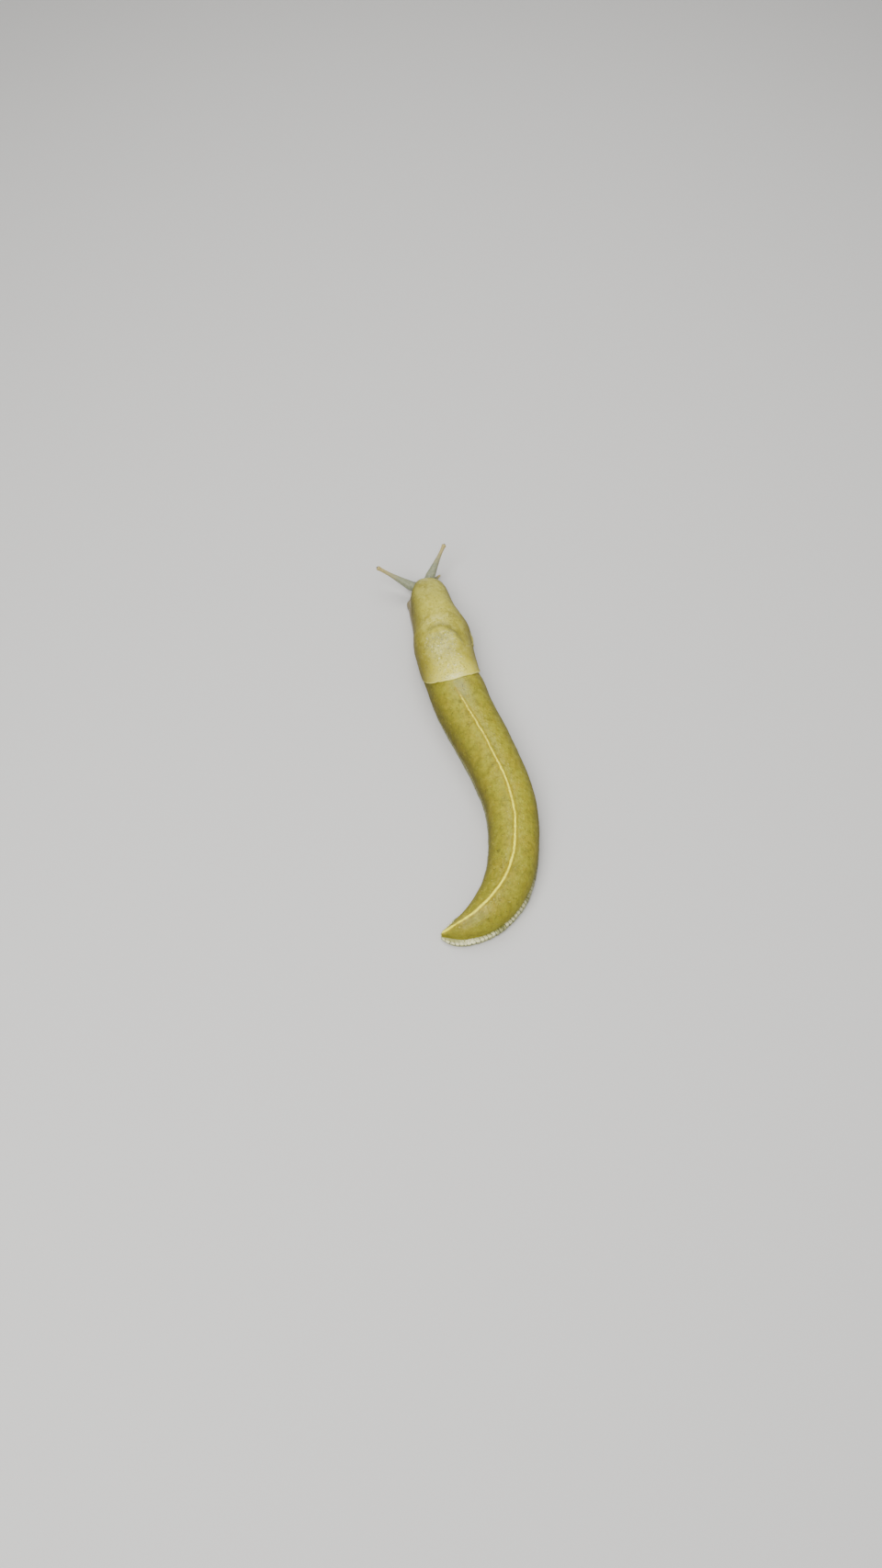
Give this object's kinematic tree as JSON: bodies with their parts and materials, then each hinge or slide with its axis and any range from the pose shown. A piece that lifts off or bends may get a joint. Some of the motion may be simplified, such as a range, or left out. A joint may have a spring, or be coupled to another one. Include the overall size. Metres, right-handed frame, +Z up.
{
  "type": "banana slug, still life-size model",
  "caption": "Still, life-size model of a banana slug crawling on its flat foot, tail swung to one side and feelers out, for display or set dressing.",
  "frame": {"origin": "bottom centre of the animal's box, on the floor under the middle of the body", "axes": "+Y along the body towards the head, +X to the animal's right, +Z up"},
  "size_m": [0.0594, 0.1638, 0.0175],
  "materials": {
    "body_skin": "moist olive-yellow skin with fine low bumps, satin to glossy, and a pale cream ridge along the back",
    "mantle_skin": "moist pale olive-yellow skin, finely grained, glossier on top",
    "foot_skin": "moist pale yellow-grey skin, ridged round the edge",
    "head_skin": "moist grey-green to yellow skin",
    "feeler_skin": "moist, slightly translucent grey-green skin, yellower at the tips",
    "eye": "glossy black"
  },
  "bodies": {
    "root": {"head": "head_skin", "eyestalk_left": "feeler_skin", "eyestalk_right": "feeler_skin", "eye_left": "eye", "eye_right": "eye", "feeler_left": "feeler_skin", "feeler_right": "feeler_skin", "mantle": "mantle_skin", "trunk_front": "body_skin", "trunk_middle": "body_skin", "trunk_rear": "body_skin", "tail": "body_skin", "foot_front": "foot_skin", "foot_middle": "foot_skin", "foot_rear": "foot_skin", "foot_tail": "foot_skin"}
  },
  "joints": []
}
